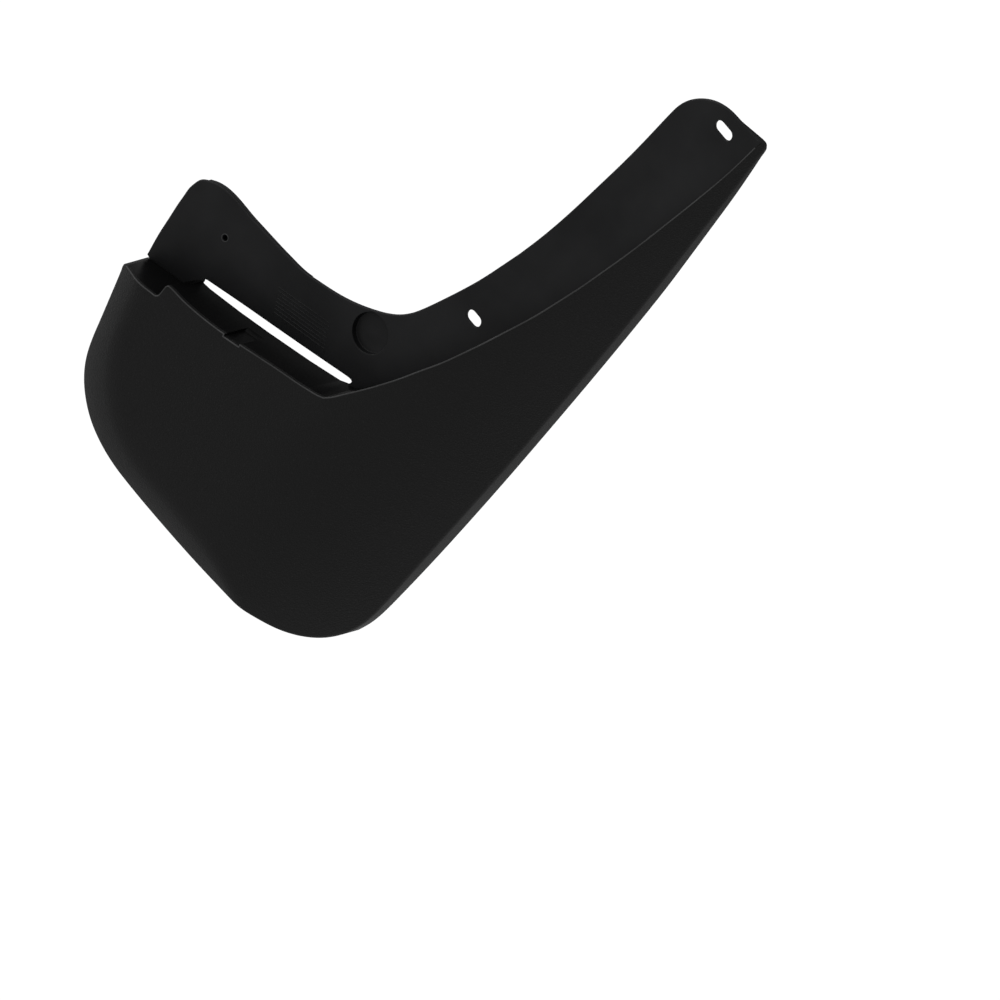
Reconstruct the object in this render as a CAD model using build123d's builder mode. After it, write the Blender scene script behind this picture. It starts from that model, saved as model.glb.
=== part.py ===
from build123d import *
import math
import os

# Moulded wheel-arch mud flap, right-hand side seen from behind the vehicle.
# X points outboard, Z up, Y forward (away from the viewer behind the vehicle).
# The origin is the centre of the middle fixing slot, on the flange's outer face (Y = 0).
# The outer skin stands out from the flange towards the viewer, at -Y. Below, "front" is
# the -Y side of the part, "rear" and "behind" are the +Y side, and heights run towards -Y.

# ---------------------------------------------------------------- dimensions
reach = 60.0            # further than the part extends from Y = 0, either way

# skin
skin_t = 3.0            # measured along Y
crown = 34.8            # height of the skin's flat part above the flange
x_crown = -34.45        # where the skin starts to fall towards the outboard edge
crown_drop = 39.4       # how far it falls
crown_run = 104.4       # width over which it falls
fall_step = 6.0         # X spacing of the points on the falling curve
fall_count = 20
bevel_w = 20.0          # rolled bevel on the inboard and bottom edges
bevel_drop = 11.6
bevel_outside = 40.0    # the bevel face is built this far outside the bevelled outline
bevel_inside = 30.0     # and this far inside it
inboard_lean = math.radians(17.0)   # lean of the inboard edge from vertical
corner_r = 72.0         # corner between the inboard and bottom bevels
corner_centre = (-94.5, -165.2)

# walls and flange
wall_t = 2.5
flange_t = 2.5
arch_wall_points = 21   # points of ARCH with a wall behind them; the tip above is solid
back_in = flange_t      # Y of the shell's rear edge, inboard
back_rise = ((-60.0, back_in), (60.0, 15.5), (66.0, 23.0))   # (X, Y) of it going outboard

# holes, cup and pilot boss
slot_w = 7.2
upper_slot = (42.0, 211.5)
upper_slot_len = 13.8
middle_slot = (0.0, 0.0)
middle_slot_len = 11.4
cup_centre = (-42.4, -60.1)
cup_r = 12.3            # inside radius
cup_wall = 1.0
cup_depth = 4.5
cup_floor = 1.0
cup_chamfer = 0.9
pilot_at = (-147.6, -93.4)
pilot_r = 1.7
pilot_boss_r = 4.0
pilot_depth = 9.0
pilot_floor = 1.5

# turned-back lips
lip_t = 1.6
lip_depth = 2.2         # lip on the flange's free edge, near the inboard corner
lip_thin = 0.5          # what is left of its depth at the second X below
lip_x = (-150.0, -101.0, -90.0)     # full depth up to the first X, none at the last
tip_back = 5.8          # Y of the rear of the solid tip
tip_height = 20.0       # extrusion of the tip, past the skin
tip_lip_x = (48.0, 62.0)            # the top edge's lip deepens between these X
tip_lip_z = 224.35      # flange's top edge at the first of them

# pocket in the slot wall
pocket_face = ((-98.4, -114.75), (-87.0, -111.35))   # its ends on the wall's face, (X, Z)
pocket_deep = 1.6
pocket_len = 26.0       # from the crown to the ledge
pocket_floor_t = 1.4
pocket_before = -3.0    # the cuts start in front of the wall's face
pocket_past = 5.0       # and the window ends beyond the wall
ledge_height = crown - pocket_len

# stiffening ribs, as (X, Z) centres
rib_t = 2.0
rib_depth = 15.0
upright_ribs = ((-118.0, -180.0), (-66.0, -180.0), (-14.0, -160.0))
upright_rib_len = 260.0
cross_rib = (-50.0, -168.0)
cross_rib_len = 300.0

# date grid, with (X, Z) corners: top left, top right, bottom right, bottom left
grid_corners = ((-103.8, -85.0), (-66.1, -74.5), (-56.0, -92.4), (-94.4, -102.3))
grid_rows, grid_cols = 7, 12
grid_line_w = 0.45
grid_line_extra = 1.0   # added to each line's length, then trimmed to the panel
grid_depth = 0.25       # the grid stands in a panel sunk this far, level with the flange

# -------------------------------------------------------------- plan outlines
# Points are (X, Z). Neighbouring stretches share their end points. The walls stand
# square to the flange, so the skin's edge and the walls share one plan curve.
ARCH = [(-27.2, -91.5), (-24.2, -87.8), (-20.5, -81.9), (-13.4, -69.9), (-6.7, -57.9),
        (-0.4, -45.5), (5.4, -32.8), (11.2, -20.3), (16.3, -7.1), (21.2, 6.3),
        (25.8, 20.1), (30.3, 33.7), (34.5, 47.7), (38.2, 62.4), (41.8, 77.3),
        (45.0, 92.7), (48.1, 108.3), (50.9, 124.0), (53.5, 140.4), (56.0, 156.5),
        (58.4, 173.0), (60.6, 189.5), (62.3, 207.0), (63.4, 222.8)]
TIP = [(63.3, 225.3), (65.0, 225.3), (66.6, 224.3), (67.5, 222.5), (67.95, 219.0)]
OUTBOARD = [(67.95, 219.0), (68.6, 201.3), (69.5, 175.8), (70.3, 148.0), (71.6, 102.0),
            (72.4, 50.4), (72.6, 0.0), (72.3, -46.4), (71.5, -100.0), (70.5, -148.2),
            (69.9, -177.4), (69.2, -187.3), (67.7, -196.0), (64.9, -204.7)]
EDGE = [(64.9, -204.7), (60.4, -212.2), (54.9, -218.3), (48.6, -222.9), (38.7, -227.5),
        (27.0, -230.4), (13.5, -232.6), (-4.2, -234.6), (-21.6, -236.3), (-40.0, -237.5),
        (-58.5, -238.1), (-75.2, -238.2), (-94.9, -237.3), (-106.8, -236.0),
        (-120.1, -233.4), (-132.1, -229.3), (-142.7, -223.1), (-151.6, -215.3),
        (-157.9, -206.2), (-162.3, -194.7), (-166.2, -181.2), (-171.4, -163.6),
        (-176.1, -147.8)]
CORNER = [(-176.1, -147.8), (-177.0, -143.7), (-174.2, -141.2)]
NOTCH = [(-174.2, -141.2), (-165.2, -138.6), (-150.0, -134.7), (-145.9, -133.8),
         (-144.5, -132.2), (-144.5, -127.9), (-144.6, -124.4), (-143.7, -122.6)]
SLOT = [(-143.7, -122.6), (-141.0, -122.1), (-133.4, -121.6), (-125.0, -120.6),
        (-116.9, -119.2), (-109.1, -117.5), (-98.2, -114.7), (-86.4, -111.2),
        (-79.6, -109.0), (-72.4, -106.7), (-60.1, -102.8), (-50.3, -99.9),
        (-42.8, -97.6), (-35.8, -95.2), (-30.3, -93.1), (-27.2, -91.5)]
# free edge of the flange, from the tip round to the inboard corner
FREE_TOP = [(63.3, 225.3), (60.0, 225.1), (53.7, 224.7), (45.6, 224.2), (37.1, 223.6),
            (29.7, 221.5), (24.8, 218.9), (19.5, 214.5), (14.2, 207.6), (11.4, 200.6),
            (10.2, 190.8), (9.3, 171.3), (7.4, 142.3), (5.6, 123.6), (3.8, 105.0),
            (1.7, 87.2), (-1.1, 68.9), (-4.4, 52.0)]
FREE_LOW = [(-4.4, 52.0), (-8.3, 36.1), (-12.4, 20.4), (-17.4, 4.9), (-22.7, -9.8),
            (-26.9, -20.7), (-31.0, -29.5), (-36.5, -37.3), (-43.4, -43.6), (-52.3, -49.6),
            (-64.7, -56.3), (-78.1, -61.6), (-88.0, -64.7), (-97.4, -67.3),
            (-108.1, -68.6), (-118.8, -69.5), (-135.1, -70.6), (-146.2, -71.2),
            (-155.6, -71.1), (-164.0, -71.6), (-169.7, -72.8), (-174.3, -74.7),
            (-178.6, -77.4)]
FREE_END = [(-178.6, -77.4), (-182.4, -81.1), (-183.7, -85.6), (-184.3, -90.4),
            (-183.9, -95.8), (-183.4, -101.9), (-182.0, -113.2), (-180.5, -125.4),
            (-178.6, -136.0), (-177.6, -141.0)]
# slit between the flange and the slot wall; the last two points lie outside the flange
SLIT = [(-142.2, -122.2), (-140.3, -120.9), (-124.0, -116.2), (-108.1, -111.5),
        (-90.0, -106.4), (-71.0, -100.9), (-52.0, -95.3), (-34.2, -89.9), (-31.6, -89.5),
        (-31.0, -91.0), (-32.4, -93.3), (-35.8, -99.0), (-142.2, -128.0)]
# rear edge of the outboard rim, seen from the side, as (Z, Y)
REAR = [(222.5, 5.4), (206.6, 8.5), (191.0, 11.1), (176.0, 13.0), (159.0, 14.6),
        (142.0, 16.2), (125.0, 17.6), (108.0, 19.0), (90.0, 19.8), (73.0, 20.2),
        (56.0, 20.5), (22.0, 20.9), (0.0, 21.1), (-29.0, 21.5), (-50.0, 21.9),
        (-75.0, 22.1), (-100.0, 22.0), (-132.0, 21.4), (-148.0, 20.2), (-166.0, 17.9),
        (-182.0, 16.3), (-196.0, 15.1)]


# -------------------------------------------------------------------- helpers
def plan_at(y):
    """Plan plane at this Y, drawn in (X, Z). Extrusions from it run towards -Y."""
    return Plane.XZ.offset(-y)


def set_back(body, depth):
    """The body moved rearwards."""
    return Pos(0, depth, 0) * body


def offset_points(points, distance):
    """Points of an open path moved square to it, to its right, mitred at each corner."""
    moved = []
    for i, (x, z) in enumerate(points):
        directions = []
        for start, end in ((i - 1, i), (i, i + 1)):
            if start < 0 or end >= len(points):
                continue
            dx = points[end][0] - points[start][0]
            dz = points[end][1] - points[start][1]
            length = math.hypot(dx, dz)
            directions.append((dx / length, dz / length))
        normal_x = sum(d[1] for d in directions) / len(directions)
        normal_z = -sum(d[0] for d in directions) / len(directions)
        scale = distance / (normal_x ** 2 + normal_z ** 2)
        moved.append((x + scale * normal_x, z + scale * normal_z))
    return moved


# The wall path runs down the outboard edge, round the shell and up the arch to
# where the skin meets the flange.
ARCH_WALL = ARCH[:arch_wall_points]
ring = OUTBOARD + EDGE[1:] + CORNER[1:] + NOTCH[1:] + SLOT[1:] + ARCH_WALL[1:]
inset = offset_points(ring, wall_t)


def inset_of(points):
    """The inset points that belong to a stretch of the ring."""
    start = ring.index(points[0])
    return inset[start:start + len(points)]


def crown_height(x):
    """Height of the skin above the flange, before the bevel."""
    if x <= x_crown:
        return crown
    return crown - crown_drop * ((x - x_crown) / crown_run) ** 2


def draw_bevel_outline(inward):
    """Draw the bevelled outline moved inwards: inboard line, corner arc, bottom line.
    The arc keeps its radius as it moves in, so the bevel is widest at the corner."""
    line_len, outboard_x = 520, 260
    cos_lean, sin_lean = math.cos(inboard_lean), math.sin(inboard_lean)
    centre_x = corner_centre[0] + inward * (1 - sin_lean) / cos_lean
    centre_z = corner_centre[1] + inward
    mid_angle = (math.pi + inboard_lean + 1.5 * math.pi) / 2
    foot = (centre_x - corner_r * cos_lean, centre_z - corner_r * sin_lean)
    middle = (centre_x + corner_r * math.cos(mid_angle),
              centre_z + corner_r * math.sin(mid_angle))
    low = (centre_x, centre_z - corner_r)
    top = (foot[0] - line_len * sin_lean, foot[1] + line_len * cos_lean)
    Line(top, foot)
    ThreePointArc(foot, middle, low)
    Polyline(low, (outboard_x, low[1]), (outboard_x, top[1]), top)


# -------------------------------------------------------------- shared bodies
def make_crowned_body():
    """Everything behind the skin's front face, before the bevel: a section along Z."""
    inboard_x, rear_y, half_length = -240, 90, 300
    fall_end = x_crown + fall_count * fall_step
    fall = [(x_crown + fall_step * i, -crown_height(x_crown + fall_step * i))
            for i in range(fall_count + 1)]
    end_slope = (fall_step, crown_height(fall_end - fall_step / 2)
                 - crown_height(fall_end + fall_step / 2))
    with BuildPart() as body:
        with BuildSketch(Plane.XY.offset(-half_length)):
            with BuildLine():
                Line((inboard_x, rear_y), (inboard_x, -crown))
                Line((inboard_x, -crown), (x_crown, -crown))
                Spline(*fall, tangents=((1, 0), end_slope))
                Polyline((fall_end, -crown_height(fall_end)), (fall_end, rear_y),
                         (inboard_x, rear_y))
            make_face()
        extrude(amount=2 * half_length)
    return body.part


def make_front_body():
    """The crowned body cut by the bevel: a plain sloping face on two sides, joined by a
    slanting cylinder round the corner. It dies out where the skin has fallen below it."""
    slope = bevel_drop / bevel_w
    edge_height = crown - bevel_drop
    base_depth = 90.0
    with BuildPart() as body:
        for inward in (-bevel_outside, bevel_inside):
            with BuildSketch(plan_at(-(edge_height + slope * inward))):
                with BuildLine():
                    draw_bevel_outline(inward)
                make_face()
        loft(ruled=True)
        # straight block behind the sloping part
        with BuildSketch(plan_at(-(edge_height - slope * bevel_outside - base_depth))):
            with BuildLine():
                draw_bevel_outline(-bevel_outside)
            make_face()
        extrude(amount=base_depth)
        add(crowned_body, mode=Mode.INTERSECT)
    return body.part


def make_front_of_rear():
    """Everything in front of the shell's rear edge: a section swept along Z, cut by
    the rim's side profile swept along X."""
    top_z, bottom_z = 270, -270
    with BuildPart() as body:
        with BuildSketch(Plane.XY.offset(-260)):
            with BuildLine():
                Polyline((-200, -60), (100, -60), (100, back_rise[2][1]),
                         *reversed(back_rise), (-200, back_in), close=True)
            make_face()
        extrude(amount=520)
        with BuildSketch(Plane.YZ.offset(-210)):
            with BuildLine():
                Spline(*[(y, z) for z, y in REAR])
                Polyline((REAR[-1][1], REAR[-1][0]), (REAR[-1][1], bottom_z), (-70, bottom_z),
                         (-70, top_z), (REAR[0][1], top_z), (REAR[0][1], REAR[0][0]))
            make_face()
        extrude(amount=320, mode=Mode.INTERSECT)
    return body.part


crowned_body = make_crowned_body()
front_body = make_front_body()
under_skin = set_back(front_body, skin_t)
front_of_rear = make_front_of_rear()


def pocket_strip(near, far):
    """A strip over the pocket's width, between two depths behind the wall's face."""
    (start_x, start_z), (end_x, end_z) = pocket_face
    length = math.hypot(end_x - start_x, end_z - start_z)
    normal_x, normal_z = (end_z - start_z) / length, -(end_x - start_x) / length
    return ((start_x + normal_x * near, start_z + normal_z * near),
            (end_x + normal_x * near, end_z + normal_z * near),
            (end_x + normal_x * far, end_z + normal_z * far),
            (start_x + normal_x * far, start_z + normal_z * far))


# ----------------------------------------------------------------- outer skin
def make_outer_skin():
    with BuildPart() as skin:
        with BuildSketch(plan_at(reach)):
            with BuildLine():
                Spline(*ARCH)
                Line(ARCH[-1], TIP[0])
                for curve in (TIP, OUTBOARD, EDGE, CORNER):
                    Spline(*curve)
                Polyline(*NOTCH)
                Spline(*SLOT)
            make_face()
        extrude(amount=2 * reach)
        add(front_body, mode=Mode.INTERSECT)
        add(under_skin, mode=Mode.SUBTRACT)
        # mouth of the wall pocket
        with BuildSketch(plan_at(reach)):
            with BuildLine():
                Polyline(*pocket_strip(pocket_before, pocket_deep), close=True)
            make_face()
        extrude(amount=2 * reach, mode=Mode.SUBTRACT)
    return skin.part


# ---------------------------------------------------------------------- walls
def make_wall(curves, inner, on_flange, draw=Spline):
    """A wall under the skin, between the outer curves and the inner points. It starts
    at the flange's rear face, or else at the shell's rear edge."""
    with BuildPart() as wall:
        with BuildSketch(plan_at(flange_t if on_flange else reach)):
            with BuildLine():
                for curve in curves:
                    draw(*curve)
                Line(curves[-1][-1], inner[-1])
                Polyline(*reversed(inner))
                Line(inner[0], curves[0][0])
            make_face()
        extrude(amount=reach if on_flange else 2 * reach)
        add(under_skin, mode=Mode.INTERSECT)
        if not on_flange:
            add(front_of_rear, mode=Mode.INTERSECT)
    return wall.part


def make_slot_wall():
    plain_wall = make_wall([SLOT], inset_of(SLOT), on_flange=True)
    with BuildPart() as wall:
        add(plain_wall)
        # window for the pocket, from the skin down to its ledge
        with BuildSketch(plan_at(-ledge_height)):
            with BuildLine():
                Polyline(*pocket_strip(pocket_before, pocket_past), close=True)
            make_face()
        extrude(amount=reach, mode=Mode.SUBTRACT)
    return wall.part


def make_wall_pocket():
    """Pocket lining: a thin floor set back behind the wall's face."""
    with BuildPart() as pocket:
        with BuildSketch(plan_at(-ledge_height)):
            with BuildLine():
                Polyline(*pocket_strip(pocket_deep, pocket_deep + pocket_floor_t), close=True)
            make_face()
        extrude(amount=pocket_len + 4)
        add(under_skin, mode=Mode.INTERSECT)
    return pocket.part


def make_tip_lip():
    """Solid lip that closes the narrow tip, with the flange's top edge turned back
    beside it, deepening towards the tip."""
    start_x, full_x = tip_lip_x
    clear_x = start_x - 5
    clear_y = 20
    with BuildPart() as tip:
        with BuildSketch(plan_at(tip_back)):
            with BuildLine():
                Spline(*TIP)
                Line(TIP[-1], inset[0])
                Line(inset[0], ARCH[-1])
                Line(ARCH[-1], TIP[0])
            make_face()
        extrude(amount=tip_height)
        add(set_back(crowned_body, skin_t), mode=Mode.INTERSECT)
        with BuildSketch(plan_at(tip_back)):
            with BuildLine():
                Polyline((start_x, tip_lip_z), *reversed(FREE_TOP[:3]), ARCH[-1],
                         (start_x, tip_lip_z - lip_t), close=True)
            make_face()
        extrude(amount=tip_back - flange_t)
        # slope the rear of the turned-back edge
        with BuildSketch(Plane.XY.offset(200)):
            with BuildLine():
                Polyline((clear_x, flange_t), (start_x, flange_t), (full_x, tip_back),
                         (full_x, clear_y), (clear_x, clear_y), close=True)
            make_face()
        extrude(amount=60, mode=Mode.SUBTRACT)
    return tip.part


# ------------------------------------------------------------ mounting flange
def make_mounting_flange():
    with BuildPart() as flange:
        with BuildSketch(plan_at(flange_t)):
            with BuildLine():
                Spline(*ARCH)
                Line(ARCH[-1], TIP[0])
                for curve in (FREE_TOP, FREE_LOW, FREE_END):
                    Spline(*curve)
                Line(FREE_END[-1], NOTCH[0])
                Polyline(*NOTCH)
                Spline(*SLOT)
            make_face()
            with BuildLine():
                Polyline(*SLIT, close=True)
            make_face(mode=Mode.SUBTRACT)
            for place, length in ((middle_slot, middle_slot_len), (upper_slot, upper_slot_len)):
                with Locations(place):
                    SlotOverall(length, slot_w, mode=Mode.SUBTRACT)
            for place, radius in ((cup_centre, cup_r + cup_wall), (pilot_at, pilot_boss_r)):
                with Locations(place):
                    Circle(radius, mode=Mode.SUBTRACT)
        extrude(amount=flange_t)
        # shallow panel that holds the date grid
        with BuildSketch(plan_at(grid_depth)):
            with BuildLine():
                Polyline(*grid_corners, close=True)
            make_face()
        extrude(amount=grid_depth, mode=Mode.SUBTRACT)
    return flange.part


def make_flange_lip():
    """Turned-back lip behind the flange's free edge, near the inboard corner. It
    thins out to nothing before the locating cup."""
    inner = offset_points(FREE_LOW, -lip_t)
    lip_back = flange_t + lip_depth
    full_x, thin_x, end_x = lip_x
    with BuildPart() as lip:
        with BuildSketch(plan_at(lip_back)):
            with BuildLine():
                Spline(*FREE_LOW)
                Line(FREE_LOW[-1], inner[-1])
                Polyline(*reversed(inner))
                Line(inner[0], FREE_LOW[0])
            make_face()
        extrude(amount=lip_depth)
        with BuildSketch(Plane.XY.offset(-100)):
            with BuildLine():
                Polyline((-200, flange_t), (-200, lip_back), (full_x, lip_back),
                         (thin_x, flange_t + lip_thin), (end_x, flange_t), close=True)
            make_face()
        extrude(amount=100, mode=Mode.INTERSECT)
    return lip.part


# --------------------------------------------------------- cup and pilot boss
def make_locating_cup():
    with BuildPart() as cup:
        with BuildSketch(plan_at(cup_depth + cup_floor)):
            with Locations(cup_centre):
                Circle(cup_r + cup_wall)
        extrude(amount=cup_depth + cup_floor)
        chamfer(cup.edges().sort_by(Axis.Y)[-1], cup_chamfer)
        with BuildSketch(plan_at(cup_depth)):
            with Locations(cup_centre):
                Circle(cup_r)
        extrude(amount=cup_depth, mode=Mode.SUBTRACT)
    return cup.part


def make_pilot_boss():
    with BuildPart() as boss:
        with BuildSketch(plan_at(pilot_depth + pilot_floor)):
            with Locations(pilot_at):
                Circle(pilot_boss_r)
        extrude(amount=pilot_depth + pilot_floor)
        with BuildSketch(plan_at(pilot_depth)):
            with Locations(pilot_at):
                Circle(pilot_r)
        extrude(amount=pilot_depth, mode=Mode.SUBTRACT)
    return boss.part


# ------------------------------------------------------------------ date grid
def divide(start, end, count):
    """The points that split a line into count equal lengths."""
    return [(start[0] + (end[0] - start[0]) * i / count,
             start[1] + (end[1] - start[1]) * i / count) for i in range(1, count)]


def make_date_grid():
    """A blank calendar grid: fine lines standing in a shallow panel."""
    top_left, top_right, low_right, low_left = grid_corners
    lines = [*zip(divide(top_left, low_left, grid_rows),
                  divide(top_right, low_right, grid_rows)),
             *zip(divide(top_left, top_right, grid_cols),
                  divide(low_left, low_right, grid_cols))]
    with BuildPart() as grid:
        with BuildSketch(plan_at(grid_depth)):
            for (start_x, start_z), (end_x, end_z) in lines:
                dx, dz = end_x - start_x, end_z - start_z
                middle = ((start_x + end_x) / 2, (start_z + end_z) / 2, 0)
                turn = math.degrees(math.atan2(dz, dx))
                with Locations(Location(middle, (0, 0, turn))):
                    Rectangle(math.hypot(dx, dz) + grid_line_extra, grid_line_w)
            with BuildLine():
                Polyline(*grid_corners, close=True)
            make_face(mode=Mode.INTERSECT)
        extrude(amount=grid_depth)
    return grid.part


# ------------------------------------------------------------ stiffening ribs
def make_stiffening_ribs():
    """Three upright ribs and a cross rib behind the skin, trimmed to the shell's inside."""
    with BuildPart() as ribs:
        with BuildSketch(plan_at(reach)):
            with Locations(*upright_ribs):
                Rectangle(rib_t, upright_rib_len)
            with Locations(cross_rib):
                Rectangle(cross_rib_len, rib_t)
        extrude(amount=2 * reach)
        with BuildSketch(plan_at(reach)):
            with BuildLine():
                Polyline(*inset, close=True)
            make_face()
        extrude(amount=2 * reach, mode=Mode.INTERSECT)
        add(under_skin, mode=Mode.INTERSECT)
        add(set_back(front_body, skin_t + rib_depth), mode=Mode.SUBTRACT)
        add(front_of_rear, mode=Mode.INTERSECT)
    return ribs.part


# --------------------------------------------------------------------- export
pieces = {
    "outer_skin": make_outer_skin(),
    "outboard_rim": make_wall([OUTBOARD], inset_of(OUTBOARD), on_flange=False),
    "tip_lip": make_tip_lip(),
    "edge_return": make_wall([EDGE, CORNER], inset_of(EDGE + CORNER[1:]), on_flange=False),
    "arch_wall": make_wall([ARCH], inset_of(ARCH_WALL), on_flange=True),
    "slot_wall": make_slot_wall(),
    "notch_wall": make_wall([NOTCH], inset_of(NOTCH), on_flange=True, draw=Polyline),
    "wall_pocket": make_wall_pocket(),
    "mounting_flange": make_mounting_flange(),
    "flange_lip": make_flange_lip(),
    "locating_cup": make_locating_cup(),
    "pilot_boss": make_pilot_boss(),
    "date_grid": make_date_grid(),
    "stiffening_ribs": make_stiffening_ribs(),
}

os.makedirs("parts", exist_ok=True)
for name, piece in pieces.items():
    piece.label = name
    export_step(piece, f"parts/{name}.step")
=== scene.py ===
"""A black moulded plastic flap: a crowned, grained skin with return walls behind it, and a
flat smooth mounting flange reaching inboard from its arched edge.

The flap is worked out in millimetres: X outboard, Z up, -Y towards the viewer behind the
vehicle, so "front" is -Y. A height is a distance in front of the flange's front face, y = -height.
A plan point is (x, z). Meshes are written in metres.
"""
import math

import bmesh
import bpy
import numpy as np
from mathutils import Matrix, Vector, geometry


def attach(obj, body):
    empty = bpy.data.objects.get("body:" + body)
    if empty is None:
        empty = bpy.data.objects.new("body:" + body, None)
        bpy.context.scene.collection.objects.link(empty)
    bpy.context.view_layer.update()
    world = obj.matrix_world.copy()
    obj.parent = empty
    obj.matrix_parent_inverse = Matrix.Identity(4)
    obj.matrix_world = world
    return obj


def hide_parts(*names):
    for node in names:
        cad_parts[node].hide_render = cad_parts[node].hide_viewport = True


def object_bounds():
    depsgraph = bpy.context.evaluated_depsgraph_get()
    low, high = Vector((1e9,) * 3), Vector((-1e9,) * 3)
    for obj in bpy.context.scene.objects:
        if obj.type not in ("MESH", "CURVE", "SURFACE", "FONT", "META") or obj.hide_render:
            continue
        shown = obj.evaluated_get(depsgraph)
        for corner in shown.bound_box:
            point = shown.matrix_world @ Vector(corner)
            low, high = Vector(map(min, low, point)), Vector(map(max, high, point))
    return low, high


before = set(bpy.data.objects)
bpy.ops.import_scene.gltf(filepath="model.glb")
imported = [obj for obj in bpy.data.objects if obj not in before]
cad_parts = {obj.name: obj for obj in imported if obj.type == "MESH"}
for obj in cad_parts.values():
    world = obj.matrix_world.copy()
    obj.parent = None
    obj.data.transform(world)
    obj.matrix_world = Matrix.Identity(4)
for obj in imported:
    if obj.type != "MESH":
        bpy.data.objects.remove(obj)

cad_lo, cad_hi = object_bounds()

MM = 0.001

SKIN_T, WALL_T, FLANGE_T = 3.0, 2.5, 2.5
TUCK = 0.15                     # walls start this far inside the skin's back
SINK = 0.3                      # posts start this far inside the flange's back

# crowned face: flat inboard of CROWN_X, then falling by CROWN_DROP over CROWN_RUN
CROWN, CROWN_DROP, CROWN_RUN, CROWN_X = 34.8, 39.4, 104.4, -34.45
BEVEL_W, BEVEL_DROP = 20.0, 11.6
BEVEL_ROLL = 0.28               # how strongly the bevel's face is curved
BEVEL_LEAN = math.radians(17.0)
CORNER_R, CORNER_CENTRE = 72.0, (-94.5, -165.2)
FACE_BLEND = 2.4                # softening where the crown meets the bevel

SLOT_W = 7.2
UPPER_SLOT, UPPER_LEN = (42.0, 211.5), 13.8
MIDDLE_SLOT, MIDDLE_LEN = (0.0, 0.0), 11.4
CUP_CENTRE, CUP_R, CUP_WALL, CUP_DEPTH, CUP_FLOOR = (-42.4, -60.1), 12.3, 1.0, 4.5, 1.0
PILOT_CENTRE, PILOT_R, BOSS_R, PILOT_DEPTH = (-147.6, -93.4), 1.7, 4.0, 9.0
BOSS_END = 1.5                  # thickness closing the pilot hole
LIP_T, LIP_DEPTH = 1.6, 2.2
POCKET_ENDS = ((-98.4, -114.75), (-87.0, -111.35))
POCKET_DEEP, POCKET_LEN, POCKET_FLOOR_T = 1.6, 26.0, 1.4
LEDGE_Y = -(CROWN - POCKET_LEN)

# Skin outline as (x, z), clockwise seen from the front; each run starts where the last ends.
ARCH = [(-27.2, -91.5), (-24.2, -87.8), (-20.5, -81.9), (-13.4, -69.9), (-6.7, -57.9),
        (-0.4, -45.5), (5.4, -32.8), (11.2, -20.3), (16.3, -7.1), (21.2, 6.3),
        (25.8, 20.1), (30.3, 33.7), (34.5, 47.7), (38.2, 62.4), (41.8, 77.3),
        (45.0, 92.7), (48.1, 108.3), (50.9, 124.0), (53.5, 140.4), (56.0, 156.5),
        (58.4, 173.0), (60.6, 189.5), (62.3, 207.0), (63.4, 222.8)]
TIP = [(63.3, 225.3), (65.0, 225.3), (66.6, 224.3), (67.5, 222.5), (67.95, 219.0)]
OUTBOARD = [(67.95, 219.0), (68.6, 201.3), (69.5, 175.8), (70.3, 148.0), (71.6, 102.0),
            (72.4, 50.4), (72.6, 0.0), (72.3, -46.4), (71.5, -100.0), (70.5, -148.2),
            (69.9, -177.4), (69.2, -187.3), (67.7, -196.0), (64.9, -204.7)]
EDGE = [(64.9, -204.7), (60.4, -212.2), (54.9, -218.3), (48.6, -222.9), (38.7, -227.5),
        (27.0, -230.4), (13.5, -232.6), (-4.2, -234.6), (-21.6, -236.3), (-40.0, -237.5),
        (-58.5, -238.1), (-75.2, -238.2), (-94.9, -237.3), (-106.8, -236.0),
        (-120.1, -233.4), (-132.1, -229.3), (-142.7, -223.1), (-151.6, -215.3),
        (-157.9, -206.2), (-162.3, -194.7), (-166.2, -181.2), (-171.4, -163.6),
        (-176.1, -147.8)]
CORNER = [(-176.1, -147.8), (-177.0, -143.7), (-174.2, -141.2)]
NOTCH = [(-174.2, -141.2), (-165.2, -138.6), (-150.0, -134.7), (-145.9, -133.8),
         (-144.5, -132.2), (-144.5, -127.9), (-144.6, -124.4), (-143.7, -122.6)]
SLOT = [(-143.7, -122.6), (-141.0, -122.1), (-133.4, -121.6), (-125.0, -120.6),
        (-116.9, -119.2), (-109.1, -117.5), (-98.2, -114.7), (-86.4, -111.2),
        (-79.6, -109.0), (-72.4, -106.7), (-60.1, -102.8), (-50.3, -99.9),
        (-42.8, -97.6), (-35.8, -95.2), (-30.3, -93.1), (-27.2, -91.5)]

# Free edge of the flange as (x, z), from the tip to the inboard corner.
FREE_TOP = [(63.3, 225.3), (60.0, 225.1), (53.7, 224.7), (45.6, 224.2), (37.1, 223.6),
            (29.7, 221.5), (24.8, 218.9), (19.5, 214.5), (14.2, 207.6), (11.4, 200.6),
            (10.2, 190.8), (9.3, 171.3), (7.4, 142.3), (5.6, 123.6), (3.8, 105.0),
            (1.7, 87.2), (-1.1, 68.9), (-4.4, 52.0)]
FREE_LOW = [(-4.4, 52.0), (-8.3, 36.1), (-12.4, 20.4), (-17.4, 4.9), (-22.7, -9.8),
            (-26.9, -20.7), (-31.0, -29.5), (-36.5, -37.3), (-43.4, -43.6), (-52.3, -49.6),
            (-64.7, -56.3), (-78.1, -61.6), (-88.0, -64.7), (-97.4, -67.3),
            (-108.1, -68.6), (-118.8, -69.5), (-135.1, -70.6), (-146.2, -71.2),
            (-155.6, -71.1), (-164.0, -71.6), (-169.7, -72.8), (-174.3, -74.7),
            (-178.6, -77.4)]
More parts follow.
